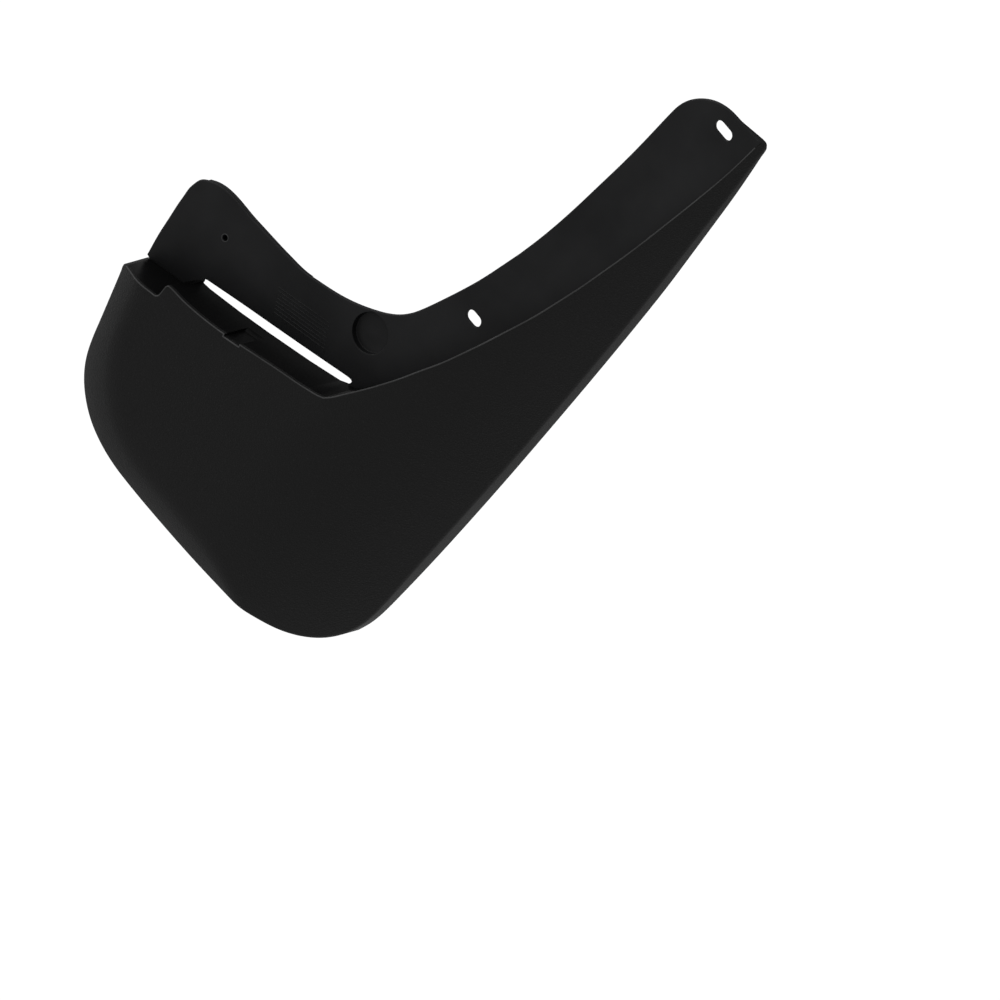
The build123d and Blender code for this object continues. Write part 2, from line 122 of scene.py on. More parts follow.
FREE_END = [(-178.6, -77.4), (-182.4, -81.1), (-183.7, -85.6), (-184.3, -90.4),
            (-183.9, -95.8), (-183.4, -101.9), (-182.0, -113.2), (-180.5, -125.4),
            (-178.6, -136.0), (-177.6, -141.0)]
# Flange edge along the narrow slit beside the slot wall, as (x, z).
SLIT = [(-141.4, -123.2), (-140.5, -121.5), (-124.0, -116.5), (-108.1, -111.8),
        (-90.0, -106.7), (-71.0, -101.2), (-52.0, -95.6), (-34.6, -90.4), (-32.0, -90.4),
        (-31.6, -91.4), (-32.4, -93.3)]
# Rear edge of the outboard rim, seen from the side, as (z, y).
REAR = [(222.5, 5.4), (206.6, 8.5), (191.0, 11.1), (176.0, 13.0), (159.0, 14.6),
        (142.0, 16.2), (125.0, 17.6), (108.0, 19.0), (90.0, 19.8), (73.0, 20.2),
        (56.0, 20.5), (22.0, 20.9), (0.0, 21.1), (-29.0, 21.5), (-50.0, 21.9),
        (-75.0, 22.1), (-100.0, 22.0), (-132.0, 21.4), (-148.0, 20.2), (-166.0, 17.9),
        (-182.0, 16.3), (-196.0, 15.1)]
# Foot of the slot wall, where it meets the flange, as (x, z).
FOOT = [(-140.9, -125.6), (-135.0, -124.8), (-111.9, -119.3), (-89.4, -113.2),
        (-59.9, -104.5), (-38.4, -97.4), (-34.3, -95.0), (-27.2, -91.5)]


# ------------------------------------------------------------------ plan curves
def spline(points, step=1.2):
    """Points along a natural cubic spline through the given plan points."""
    knots = np.array(points, float)
    gaps = np.hypot(*np.diff(knots, axis=0).T)
    n = len(knots)
    system = np.zeros((n, n))
    rhs = np.zeros((n, 2))
    system[0, 0] = system[-1, -1] = 1.0
    for i in range(1, n - 1):
        before, after = gaps[i - 1], gaps[i]
        system[i, i - 1:i + 2] = before, 2 * (before + after), after
        rhs[i] = 6 * ((knots[i + 1] - knots[i]) / after - (knots[i] - knots[i - 1]) / before)
    bend = np.linalg.solve(system, rhs)
    curve = []
    for i, gap in enumerate(gaps):
        pieces = max(1, int(math.ceil(gap / step)))
        for j in range(pieces):
            done = j / pieces * gap
            left = gap - done
            curve.append(bend[i] * left ** 3 / (6 * gap) + bend[i + 1] * done ** 3 / (6 * gap)
                         + (knots[i] / gap - bend[i] * gap / 6) * left
                         + (knots[i + 1] / gap - bend[i + 1] * gap / 6) * done)
    curve.append(knots[-1])
    return np.array(curve)


def straights(points, step, soften):
    """Points along straight lines, with the corners softened in a number of passes."""
    knots = np.array(points, float)
    path = []
    for start, end in zip(knots[:-1], knots[1:]):
        pieces = max(1, int(math.ceil(np.hypot(*(end - start)) / step)))
        path += [start + (end - start) * j / pieces for j in range(pieces)]
    path = np.array(path + [knots[-1]])
    for _ in range(soften):
        path[1:-1] = 0.25 * path[:-2] + 0.5 * path[1:-1] + 0.25 * path[2:]
    return path


def close_loop(curves):
    """Named curves joined end to end into a closed loop, and each one's first and last index."""
    points, spans = [], {}
    for name, curve in curves.items():
        start = max(len(points) - 1, 0)
        points += list(curve[1:] if points else curve)
        spans[name] = (start, len(points) - 1)
    return np.array(points[:-1]), spans


def normals(path, closed=True):
    """Mitre vectors to the right of the path; a move of t along them offsets the path by t."""
    if closed:
        before, after = np.roll(path, 1, 0), np.roll(path, -1, 0)
    else:
        before = np.vstack([path[:1] * 2 - path[1:2], path[:-1]])
        after = np.vstack([path[1:], path[-1:] * 2 - path[-2:-1]])
    sides = []
    for along in (path - before, after - path):
        along /= np.maximum(np.hypot(*along.T), 1e-9)[:, None]
        sides.append(np.c_[along[:, 1], -along[:, 0]])
    mitre = sides[0] + sides[1]
    square = (mitre * mitre).sum(1)
    return mitre / (np.maximum(square, 1.0)[:, None] / 2)


def area(loop):
    """Signed area, negative for a clockwise loop."""
    x, z = loop.T
    return 0.5 * float((x * np.roll(z, -1) - np.roll(x, -1) * z).sum())


def inside(points, loop):
    """Whether each point lies in the loop."""
    found = np.zeros(len(points), bool)
    x, z = points.T
    for (x1, z1), (x2, z2) in zip(loop, np.roll(loop, -1, 0)):
        if z1 != z2:
            found ^= ((z1 > z) != (z2 > z)) & (x < (x2 - x1) * (z - z1) / (z2 - z1) + x1)
    return found


def distance(points, loop):
    """Each point's distance to the closed loop."""
    best = np.full(len(points), 1e9)
    for start, end in zip(loop, np.roll(loop, -1, 0)):
        along = end - start
        square = float(along @ along)
        if square < 1e-12:
            continue
        share = np.clip(((points - start) @ along) / square, 0, 1)
        gap = points - start - share[:, None] * along
        best = np.minimum(best, (gap * gap).sum(1))
    return np.sqrt(best)


def even_out(radii, passes):
    """Edge radii averaged with their neighbours round a closed loop."""
    for _ in range(passes):
        radii = (np.roll(radii, 1) + radii * 2 + np.roll(radii, -1)) / 4
    return radii


# ---------------------------------------------------------------- skin surface
def crown_h(x):
    return CROWN - np.where(x > CROWN_X, CROWN_DROP * ((x - CROWN_X) / CROWN_RUN) ** 2, 0.0)


def bevel_h(x, z):
    """Height of the rolled bevel's face. The corner keeps its radius as the outline moves
    inwards, so the bevel is widest at the corner."""
    u, v = x - CORNER_CENTRE[0], z - CORNER_CENTRE[1]
    nx, nz = -math.cos(BEVEL_LEAN), -math.sin(BEVEL_LEAN)
    slide = (1 + nz) / -nx      # sideways travel of the corner's centre per mm inwards
    to_line = CORNER_R - (u * nx + v * nz)
    to_low = CORNER_R + v
    quad, lin = slide * slide + 1.0, u * slide + v
    root = np.maximum(lin * lin - quad * (u * u + v * v - CORNER_R ** 2), 0.0)
    to_arc = (lin + np.sqrt(root)) / quad
    from_x, from_z = u - slide * to_arc, v - to_arc
    at_corner = (nz * from_x - nx * from_z < 0) & (from_x < 0)
    share = np.where(at_corner, to_arc, np.minimum(to_line, to_low)) / BEVEL_W
    rolled = np.where(share < 1.0, (1 + BEVEL_ROLL) * share - BEVEL_ROLL * share * share,
                      1.0 + (1 - BEVEL_ROLL) * (share - 1.0))
    return CROWN - BEVEL_DROP + BEVEL_DROP * rolled


def skin_h(x, z):
    """Front face of the skin: the crowned face and the bevel, blended."""
    face, bevel = crown_h(x), bevel_h(x, z)
    blend = np.maximum(FACE_BLEND - np.abs(face - bevel), 0.0)
    return np.minimum(face, bevel) - blend * blend / (4 * FACE_BLEND)


def behind_skin(point):
    """Y at which a wall starts, just inside the skin's back."""
    return -float(skin_h(*point)) + SKIN_T - TUCK


rear_curve = spline(REAR, 4.0)[::-1]


def rear_y(x, z):
    """Rear edge of the shell: shallow inboard, deeper at the rim, drawn in at the rim's ends."""
    across = np.interp(x, [-60.0, 60.0, 66.0], [2.5, 15.5, 23.0])
    return float(min(across, np.interp(z, *rear_curve.T)))


def flange_back_y(x, z):
    return FLANGE_T


# -------------------------------------------------------------- mesh builders
def mesh_object(name, verts, faces, sharp=38.0):
    """A mesh from points in mm; edges turning more than `sharp` degrees stay crisp."""
    mesh = bpy.data.meshes.new(name)
    mesh.from_pydata([tuple(c * MM for c in v) for v in verts], [], [tuple(f) for f in faces])
    mesh.validate()
    bm = bmesh.new()
    bm.from_mesh(mesh)
    bmesh.ops.remove_doubles(bm, verts=bm.verts, dist=2e-6)
    bmesh.ops.dissolve_degenerate(bm, edges=bm.edges, dist=1e-6)
    bmesh.ops.recalc_face_normals(bm, faces=bm.faces)
    for face in bm.faces:
        face.smooth = True
    for edge in bm.edges:
        if len(edge.link_faces) != 2 or edge.calc_face_angle(0.0) > math.radians(sharp):
            edge.smooth = False
    bm.to_mesh(mesh)
    bm.free()
    ob = bpy.data.objects.new(name, mesh)
    bpy.context.scene.collection.objects.link(ob)
    return ob


FILLET = [0.0, 18.0, 36.0, 54.0, 72.0, 90.0]


def slab(name, loops, top, bottom, grid, margin):
    """A plate over a plan outline. loops holds (points, top radius, bottom radius), the
    outline first and then the holes; top and bottom give heights over plan points."""
    verts, faces = [], []
    rings, plan, plan_edges = [], [], []
    ring_top, ring_bottom = [], []
    for i, (edge, r_top, r_bottom) in enumerate(loops):
        n = len(edge)
        clockwise = area(edge) < 0
        inward = normals(edge) * (1.0 if clockwise == (i == 0) else -1.0)
        r_top, r_bottom = np.full(n, r_top), np.full(n, r_bottom)
        ring = edge + inward * (np.maximum(r_top, r_bottom) + margin)[:, None]

        def rounded(radius, height, sign):
            rows = []
            for angle in FILLET:
                c, s = math.cos(math.radians(angle)), math.sin(math.radians(angle))
                x, z = (edge + inward * (radius * (1 - c))[:, None]).T
                rows.append(np.c_[x, -(height(x, z) - sign * radius * (1 - s)), z])
            rows.append(np.c_[ring[:, 0], -height(*ring.T), ring[:, 1]])
            return rows

        up, down = rounded(r_top, top, 1.0), rounded(r_bottom, bottom, -1.0)
        ids = []
        for row in up[::-1] + [up[0] + (down[0] - up[0]) / 2] + down:
            ids.append(list(range(len(verts), len(verts) + n)))
            verts += [tuple(p) for p in row]
        for a, b in zip(ids[:-1], ids[1:]):
            for j in range(n):
                k = (j + 1) % n
                faces.append((a[j], a[k], b[k], b[j]))
        ring_top += ids[0]
        ring_bottom += ids[-1]
        base = len(plan)
        plan += [tuple(p) for p in ring]
        plan_edges += [(base + j, base + (j + 1) % n) for j in range(n)]
        rings.append(ring)

    def in_plate(points):
        ok = inside(points, rings[0])
        for hole in rings[1:]:
            ok &= ~inside(points, hole)
        return ok

    # fill the faces with a triangular grid of points
    lo, hi = rings[0].min(0), rings[0].max(0)
    gx, gz = np.meshgrid(np.arange(lo[0], hi[0], grid), np.arange(lo[1], hi[1], grid * 0.866))
    gx = gx + (np.arange(gx.shape[0]) % 2)[:, None] * grid / 2
    fill = np.c_[gx.ravel(), gz.ravel()]
    fill = fill[in_plate(fill)]
    for ring in rings:
        fill = fill[distance(fill, ring) > grid * 0.55]
    n_ring = len(plan)
    plan += [tuple(p) for p in fill]
    result = geometry.delaunay_2d_cdt([Vector(p) for p in plan], plan_edges, [], 0, 1e-7, True)
    flat, triangles, origins = np.array([tuple(v) for v in result[0]]), result[2], result[3]
    top_id, bottom_id = [], []
    for (x, z), origin in zip(flat, origins):
        on_ring = [i for i in origin if i < n_ring]
        if on_ring:
            top_id.append(ring_top[on_ring[0]])
            bottom_id.append(ring_bottom[on_ring[0]])
        else:
            top_id.append(len(verts))
            bottom_id.append(len(verts) + 1)
            verts += [(x, -float(top(x, z)), z), (x, -float(bottom(x, z)), z)]
    middles = np.array([(flat[a] + flat[b] + flat[c]) / 3 for a, b, c in triangles])
    for (a, b, c), kept in zip(triangles, in_plate(middles)):
        if kept:
            faces.append((top_id[a], top_id[b], top_id[c]))
            faces.append((bottom_id[c], bottom_id[b], bottom_id[a]))
    return mesh_object(name, verts, faces)


def sweep(name, *bars, sharp=38.0):
    """Capped bars, each a list of cross-sections made of 3-D points."""
    verts, faces = [], []
    for bar in bars:
        k = len(bar[0])
        base = len(verts)
        for section in bar:
            verts += section
        for i in range(len(bar) - 1):
            for j in range(k):
                a, b = base + i * k + j, base + i * k + (j + 1) % k
                faces.append((a, b, b + k, a + k))
        faces.append(tuple(base + j for j in range(k)))
        faces.append(tuple(base + (len(bar) - 1) * k + j for j in reversed(range(k))))
    return mesh_object(name, verts, faces, sharp)


def revolve(name, profile, centre, steps):
    """A closed profile of (radius, y) turned about an axis along Y through a plan point."""
    verts, faces = [], []
    n = len(profile)
    for i in range(steps):
        t = 2 * math.pi * i / steps
        for r, y in profile:
            verts.append((centre[0] + r * math.cos(t), y, centre[1] + r * math.sin(t)))
    for i in range(steps):
        here, there = i * n, (i + 1) % steps * n
        for j in range(n):
            k = (j + 1) % n
            faces.append((here + j, here + k, there + k, there + j))
    return mesh_object(name, verts, faces)


def stadium(centre, length, width, steps=14):
    r, half = width / 2, (length - width) / 2
    points = []
    for side, start in ((1, -math.pi / 2), (-1, math.pi / 2)):
        for i in range(steps + 1):
            t = start + math.pi * i / steps
            points.append((centre[0] + side * half + r * math.cos(t),
                           centre[1] + r * math.sin(t)))
    return np.array(points)


def circle(centre, r, steps):
    t = np.linspace(0, 2 * math.pi, steps, endpoint=False)
    return np.c_[centre[0] + r * np.cos(t), centre[1] + r * np.sin(t)]


# --------------------------------------------------------------- shared outline
# The slot curve gets a point exactly at each end of the pocket in the slot wall.
slot_curve = spline(SLOT, 1.0)
pocket_span = []
for end in POCKET_ENDS:
    nearest = int(np.argmin(np.hypot(*(slot_curve - end).T)))
    slot_curve[nearest] = end[0], np.interp(end[0], *slot_curve.T)
    pocket_span.append(nearest)

(end_ax, end_az), (end_bx, end_bz) = POCKET_ENDS
pocket_w = math.hypot(end_bx - end_ax, end_bz - end_az)
into_wall = np.array([(end_bz - end_az) / pocket_w, -(end_bx - end_ax) / pocket_w])

outline, spans = close_loop({
    "arch": spline(ARCH),
    "tip": np.vstack([ARCH[-1:], spline(TIP, 0.5)]),
    "outboard": spline(OUTBOARD),
    "edge": spline(EDGE),
    "corner": spline(CORNER, 0.6),
    "notch": straights(NOTCH, 0.5, 1),
    "slot": slot_curve})
inward = normals(outline)      # the outline runs clockwise, so right of the path is inside


def stretch(name):
    """Outline indices of a named run."""
    first, last = spans[name]
    return [i % len(outline) for i in range(first, last + 1)]


# ------------------------------------------------------------------- materials
def add_node(tree, kind, inputs, **settings):
    """A node; each input, keyed by name or number, is given a value or a socket to link."""
    made = tree.nodes.new(kind)
    for key, value in settings.items():
        setattr(made, key, value)
    for key, value in inputs.items():
        if isinstance(value, bpy.types.NodeSocket):
            tree.links.new(value, made.inputs[key])
        else:
            made.inputs[key].default_value = value
    return made


def noise(tree, place, scale, detail, roughness):
    return add_node(tree, "ShaderNodeTexNoise", {
        "Vector": place, "Scale": scale, "Detail": detail, "Roughness": roughness}).outputs[0]


def map_range(tree, value, source, target, **settings):
    """value carried from the source range to the target range."""
    return add_node(tree, "ShaderNodeMapRange", {
        "Value": value, "From Min": source[0], "From Max": source[1],
        "To Min": target[0], "To Max": target[1]}, **settings).outputs[0]


def mix(tree, kind, factor, first, second):
    """A FLOAT or RGBA mix; the two kinds use different sockets of the same node."""
    a, b, out = {"FLOAT": (2, 3, 0), "RGBA": (6, 7, 2)}[kind]
    made = add_node(tree, "ShaderNodeMix", {0: factor, a: first, b: second}, data_type=kind)
    return made.outputs[out]


def empty_tree(owner):
    owner.use_nodes = True
    owner.node_tree.nodes.clear()
    return owner.node_tree


def plastic(name, dark, light, roughness, grain_mm, depth_mm, fine_share=0.6, specular=0.5,
            dust=0.06, wear_and_sheen=0.35, wear_and_sheen_tone=0.045, waviness=0.0, drift_scale=14.0,
            rough_swing=0.06, gloss_swing=0.0):
    """Moulded black plastic: fine grain in bump, colour and roughness that drift between
    dark and light, dust specks, and paler edges, partly wear and partly a painted highlight."""
    mat = bpy.data.materials.new(name)
    tree = empty_tree(mat)
    place = add_node(tree, "ShaderNodeTexCoord", {}).outputs["Object"]
    drift = noise(tree, place, scale=drift_scale, detail=3.0, roughness=0.55)
    # irregular cells with smooth tops, and finer noise between
    cells = add_node(tree, "ShaderNodeTexVoronoi", {
        "Vector": place, "Scale": 1000.0 / grain_mm, "Smoothness": 0.5}, feature="SMOOTH_F1")
    fine = noise(tree, place, scale=1400.0 / grain_mm, detail=3.0, roughness=0.65)
    grain = mix(tree, "FLOAT", fine_share, cells.outputs["Distance"], fine)
    # faint waviness over a few centimetres, under the grain
    wave = noise(tree, place, scale=45.0, detail=2.0, roughness=0.5)
    broad_bump = add_node(tree, "ShaderNodeBump", {
        "Strength": 1.0, "Distance": 0.00012 + 0.0002 * waviness, "Height": wave})
    bump = add_node(tree, "ShaderNodeBump", {
        "Strength": 1.0, "Distance": depth_mm * MM, "Height": grain,
        "Normal": broad_bump.outputs[0]})
    # colour: drift, then dust specks, then paler edges (wear and painted highlight)
    tone = map_range(tree, drift, source=(0.3, 0.7), target=(0.0, 1.0))
    colour = mix(tree, "RGBA", tone, (*dark, 1), (*light, 1))
    specks = noise(tree, place, scale=900.0, detail=1.0, roughness=0.5)
    speck_share = map_range(tree, specks, source=(0.62, 0.82), target=(0.0, dust))
    colour = mix(tree, "RGBA", speck_share, colour, (0.11, 0.11, 0.11, 1))
    pointiness = add_node(tree, "ShaderNodeNewGeometry", {}).outputs["Pointiness"]
    # pointy edges painted paler: partly wear, partly a painted highlight along the edges
    wear_and_sheen_share = map_range(tree, pointiness, source=(0.54, 0.66), target=(0.0, wear_and_sheen))
    colour = mix(tree, "RGBA", wear_and_sheen_share, colour, (wear_and_sheen_tone, wear_and_sheen_tone, wear_and_sheen_tone * 1.04, 1))
    # roughness follows the drift, with a little of the fine noise
    uneven = mix(tree, "FLOAT", 0.25, drift, fine)
    rough = map_range(tree, uneven, source=(0.25, 0.75),
                      target=(roughness - rough_swing, roughness + rough_swing))
    bsdf = add_node(tree, "ShaderNodeBsdfPrincipled", {
        "Base Color": colour, "Roughness": rough, "Normal": bump.outputs[0],
        "Specular IOR Level": specular})
    if gloss_swing:
        gloss = map_range(tree, drift, source=(0.32, 0.68),
                          target=(specular * (1 - gloss_swing), specular * (1 + gloss_swing)))
        tree.links.new(gloss, bsdf.inputs["Specular IOR Level"])
    add_node(tree, "ShaderNodeOutputMaterial", {0: bsdf.outputs[0]})
    return mat


grained = plastic(
    "grained_plastic_look", dark=(0.0064, 0.0064, 0.0066), light=(0.0084, 0.0084, 0.0086),
    roughness=0.56, grain_mm=1.0, depth_mm=0.42, fine_share=0.45, dust=0.14, wear_and_sheen=0.4)
smooth = plastic(
    "smooth_plastic_look", dark=(0.0100, 0.0103, 0.0114), light=(0.0172, 0.0176, 0.0192),
    roughness=0.47, grain_mm=0.5, depth_mm=0.012, dust=0.05, wear_and_sheen=0.4, waviness=0.6,
    drift_scale=15.0, rough_swing=0.08, gloss_swing=0.22)
# a darker copy of the same plastic: painted shade for the notch wall, which sits in shade
notch_shade_look = plastic(
    "notch_painted_shade_look", dark=(0.0040, 0.0040, 0.0042), light=(0.0058, 0.0058, 0.0060),
    roughness=0.32, grain_mm=0.6, depth_mm=0.02, specular=0.14, dust=0.02, wear_and_sheen=0.3,
    wear_and_sheen_tone=0.02)
# the pocket's edges are painted paler more strongly, as a painted highlight on its ledge
pocket_look = plastic(
    "pocket_plastic_look", dark=(0.0060, 0.0060, 0.0062), light=(0.0082, 0.0082, 0.0084),
    roughness=0.42, grain_mm=0.6, depth_mm=0.03, specular=0.15, dust=0.04, wear_and_sheen=0.5,
    wear_and_sheen_tone=0.05)
walls = plastic(
    "wall_plastic_look", dark=(0.0078, 0.0078, 0.0080), light=(0.0104, 0.0104, 0.0106),
    roughness=0.34, grain_mm=0.6, depth_mm=0.02, specular=0.02, dust=0.02, wear_and_sheen=0.3,
    wear_and_sheen_tone=0.02)
# light colour for thin beads along edges and round the pilot hole: a painted highlight, not the
# plastic's own tone
painted_highlight = plastic(
    "painted_highlight_look", dark=(0.065, 0.065, 0.066), light=(0.13, 0.13, 0.132),
    roughness=0.45, grain_mm=0.6, depth_mm=0.02, dust=0.0, wear_and_sheen=0.0, drift_scale=40.0)


def place(ob, mat, slot_name, *nodes):
    """Gives the object its material and the CAD nodes it stands in for."""
    ob.data.materials.append(mat)
    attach(ob, "root")
    if nodes:
        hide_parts(*nodes)


# ------------------------------------------------------------------ outer skin
# The pocket's mouth cuts a small step into the skin's edge.
slot_ids = stretch("slot")
step_a, step_b = (slot_ids[i] for i in pocket_span)
push = into_wall * POCKET_DEEP
skin_loop = np.vstack([outline[:step_a + 1], outline[step_a] + push * 0.5,
                       outline[step_a:step_b + 1] + push,
                       outline[step_b] + push * 0.5, outline[step_b:]])
STEP_R, STEP_END_R = 0.35, 0.3
edge_r = np.full(len(outline), 0.95)
for run, radius in (("outboard", 1.1), ("edge", 1.6), ("tip", 0.9), ("corner", 1.2)):
    edge_r[stretch(run)] = radius
skin_r = np.insert(even_out(edge_r, 12), step_a + 1, [STEP_R] * 4)
skin_r[step_a - 2:step_b + 7] = STEP_R
skin_r[[step_a + 1, step_a + 2, step_b + 2, step_b + 3]] = STEP_END_R
skin = slab("outer_skin_moulding", [(skin_loop, skin_r, 0.02)], skin_h,
            lambda x, z: skin_h(x, z) - SKIN_T, grid=2.4, margin=0.45)
place(skin, grained, "grained_plastic", "outer_skin")


def bead_section(i):
    """Octagon sunk in the skin's rounded edge, finer towards the tip; it carries the painted
    highlight.
    """
    (x, z), (in_x, in_z) = skin_loop[i], skin_in[i]
    near_tip = np.clip(z / 220.0, 0, 1)
    radius, sink = 0.46 - 0.12 * near_tip, 0.14 - 0.05 * near_tip
    inset = skin_r[i] * 0.2929 + sink       # middle of the rounded edge, then the sink
    y = -(float(skin_h(x, z)) - inset)
    return [(x + in_x * (inset + radius * math.cos(a)), y + radius * math.sin(a),
             z + in_z * (inset + radius * math.cos(a)))
            for a in np.radians(np.arange(0, 360, 45))]


# A painted highlight along the skin's edge: a fine bead in a light colour, from the inboard
# corner round the notch, past the pocket and up the arch.
skin_in = normals(skin_loop)
bead_ids = [*range(spans["notch"][0], len(skin_loop)), *range(spans["arch"][1] - 1)]
line = sweep("skin_edge_painted_highlight", [bead_section(i) for i in bead_ids], sharp=60.0)
place(line, painted_highlight, "grained_plastic")


# ------------------------------------------------------------------- side walls
def wall_sections(ids, back, foot=None):
    """Cross-sections of a wall behind part of the outline, its rear edge rounded.
    foot gives how far the wall's rear is moved in plan."""
    r = 0.45
    sections = []
    for i in ids:
        side = inward[i]
        outer, inner = outline[i], outline[i] + side * WALL_T
        y_outer, y_inner = back(*outer), back(*inner)
        shift = foot(outer) if foot else np.zeros(2)
        outer_foot, inner_foot = outer + shift, inner + shift * 0.6
        rows = [(outer, behind_skin(outer)), (outer_foot, y_outer - r),
                (outer_foot + side * r * 0.3, y_outer - r * 0.3),
                (outer_foot + side * r, y_outer), (inner_foot - side * r, y_inner),
                (inner_foot, y_inner - r), (inner, behind_skin(inner))]
        sections.append([(x, y, z) for (x, z), y in rows])
    return sections


rim = sweep("outboard_rim_band", wall_sections(stretch("outboard"), rear_y))
place(rim, grained, "grained_plastic", "outboard_rim")

edge_return = sweep("edge_return_wall",
                    wall_sections(stretch("edge") + stretch("corner")[1:], rear_y))
place(edge_return, grained, "grained_plastic", "edge_return")

# Solid block under the narrow tip, with the flange's top edge turned back beside it.
TIP_SPLIT_X = 63.2              # lip inboard of this, block outboard
lip_edge = spline(FREE_TOP, 0.8)
lip_edge = lip_edge[(lip_edge[:, 0] > 46.5) & (lip_edge[:, 0] < 63.0)][::-1]
tip_ids = stretch("tip")
tip_loop = np.vstack([lip_edge, outline[tip_ids[1:]],
                      outline[tip_ids[-1]] + inward[tip_ids[-1]] * 2.0,
                      [(63.5, 221.2), (62.3, 223.3)], lip_edge[::-1] - [0.0, LIP_T]])


def tip_top(x, z):
    return np.where(x < TIP_SPLIT_X, -FLANGE_T + SINK, skin_h(x, z) - SKIN_T + TUCK)


def tip_bottom(x, z):
    lip = -np.interp(x, [46.0, 48.0, 62.0], [FLANGE_T, FLANGE_T + 0.1, 5.7])
    return np.minimum(lip, np.where(x < TIP_SPLIT_X, 0.0, skin_h(x, z) - SKIN_T - 0.1))


tip = slab("tip_lip_block", [(tip_loop, 0.02, 0.5)], tip_top, tip_bottom, grid=1.0, margin=0.1)
place(tip, grained, "grained_plastic", "tip_lip")

ARCH_WALL_TOP = 173.5
arch_ids = [i for i in stretch("arch") if outline[i][1] < ARCH_WALL_TOP]
arch = sweep("arch_return_wall", wall_sections(arch_ids, flange_back_y))
place(arch, walls, "wall_plastic", "arch_wall")

FOOT_OUT = 2.0                  # outboard shift of the foot where notch and slot walls meet


def notch_foot(point):
    """The last stretch of the notch wall leans outboard to meet the slot wall's foot."""
    x, z = point
    share = min(max((float(z) + 133.0) / 10.0, 0.0), 1.0) if x > -146.0 else 0.0
    return np.array([FOOT_OUT, 0.0]) * share


# the notch wall takes the darker copy of the plastic as painted shade
notch = sweep("notch_return_wall", wall_sections(stretch("notch"), flange_back_y, notch_foot))
place(notch, notch_shade_look, "wall_plastic", "notch_wall")

foot_x, foot_z = np.array(FOOT).T
face_x, face_z = spline(SLOT).T


def slot_foot(point):
    """Plan shift from the slot wall's front to its foot, which sits further under the skin."""
    x = float(point[0])
    share = min(max((x - face_x[0]) / 3.0, 0.0), 1.0)
    drop = (np.interp(max(x, foot_x[0]), foot_x, foot_z)
            - np.interp(max(x, foot_x[0]), face_x, face_z))
    return np.array([FOOT_OUT * (1 - share), share * drop])


def slot_wall_point(i, y, depth):
    """A point of the leaning slot wall at y, depth mm into the wall from its face."""
    front = SKIN_T - float(skin_h(*outline[i]))
    share = np.clip((y - front) / (FLANGE_T - front), 0, 1)
    x, z = outline[i] + slot_foot(outline[i]) * share + into_wall * depth
    return (x, y, z)


def slot_wall_sections(ids, back=FLANGE_T, front=None, shift=0.0, thick=WALL_T, rows=7):
    sections = []
    for i in ids:
        start = behind_skin(outline[i]) if front is None else front
        levels = [start + (back - start) * k / rows for k in range(rows + 1)]
        sections.append([slot_wall_point(i, y, shift) for y in levels]
                        + [slot_wall_point(i, y, shift + thick) for y in levels[::-1]])
    return sections


pocket_a, pocket_b = pocket_span
pocket_ids = slot_ids[pocket_a:pocket_b + 1]
slot_wall = sweep("slot_return_wall", slot_wall_sections(slot_ids[:pocket_a + 1]),
                  slot_wall_sections(slot_ids[pocket_b:]),
                  slot_wall_sections(pocket_ids, front=LEDGE_Y))
place(slot_wall, walls, "wall_plastic", "slot_wall")

# Pocket floor, and a ledge sloping from it out to the wall's face, as (y, depth in the wall).
LEDGE = [(LEDGE_Y + 0.05, 0.25), (LEDGE_Y - 0.5, 0.12), (LEDGE_Y - 0.9, 0.3),
         (LEDGE_Y - 2.9, POCKET_DEEP - 0.1), (LEDGE_Y - 3.0, POCKET_DEEP + 0.3),
         (LEDGE_Y + 0.05, POCKET_DEEP + 0.3)]
pocket = sweep("wall_pocket_lining",
               slot_wall_sections(pocket_ids, back=LEDGE_Y + 0.02, shift=POCKET_DEEP,
                                  thick=POCKET_FLOOR_T),
               [[slot_wall_point(i, y, depth) for y, depth in LEDGE] for i in pocket_ids])
place(pocket, pocket_look, "wall_plastic", "wall_pocket")


# ------------------------------------------------------------- mounting flange
def tucked(curve, under=0.5):
    """The curve moved under the wall beside it."""
    return curve + normals(curve, closed=False) * under


notch_curve = straights(NOTCH, 0.8, 3)
slot_end = spline(SLOT, 1.0)
HIDDEN_R, FREE_R, SLIT_R = 0.02, 1.0, 0.4       # edge radii
flange_runs = [
    (HIDDEN_R, tucked(spline(ARCH))),
    (HIDDEN_R, [(63.9, 223.6), (63.9, 225.1)]),
    (FREE_R, np.vstack([spline(run)[1:] for run in (FREE_TOP, FREE_LOW, FREE_END)])),
    (HIDDEN_R, tucked(notch_curve) + np.array([notch_foot(p) for p in notch_curve])),
    (SLIT_R, straights(SLIT, 1.0, 2)),
    (HIDDEN_R, tucked(slot_end[slot_end[:, 0] > -31.5]))]
flange_loop = np.vstack([curve for _, curve in flange_runs])
flange_r = np.concatenate([np.full(len(curve), radius) for radius, curve in flange_runs])
apart = np.r_[True, np.hypot(*np.diff(flange_loop, axis=0).T) > 0.25]
flange_loop, flange_r = flange_loop[apart], even_out(flange_r[apart], 3)
flange = slab("mounting_flange_plate",
              [(flange_loop, flange_r, flange_r * 0.8),
               (stadium(MIDDLE_SLOT, MIDDLE_LEN, SLOT_W), 0.35, 0.3),
               (stadium(UPPER_SLOT, UPPER_LEN, SLOT_W), 0.35, 0.3),
               (circle(CUP_CENTRE, CUP_R, 72), 0.45, 0.02),
               (circle(PILOT_CENTRE, PILOT_R, 32), 0.3, 0.02)],
              lambda x, z: 0.0 * x, lambda x, z: -FLANGE_T + 0.0 * x, grid=2.6, margin=0.35)
place(flange, smooth, "smooth_plastic", "mounting_flange")

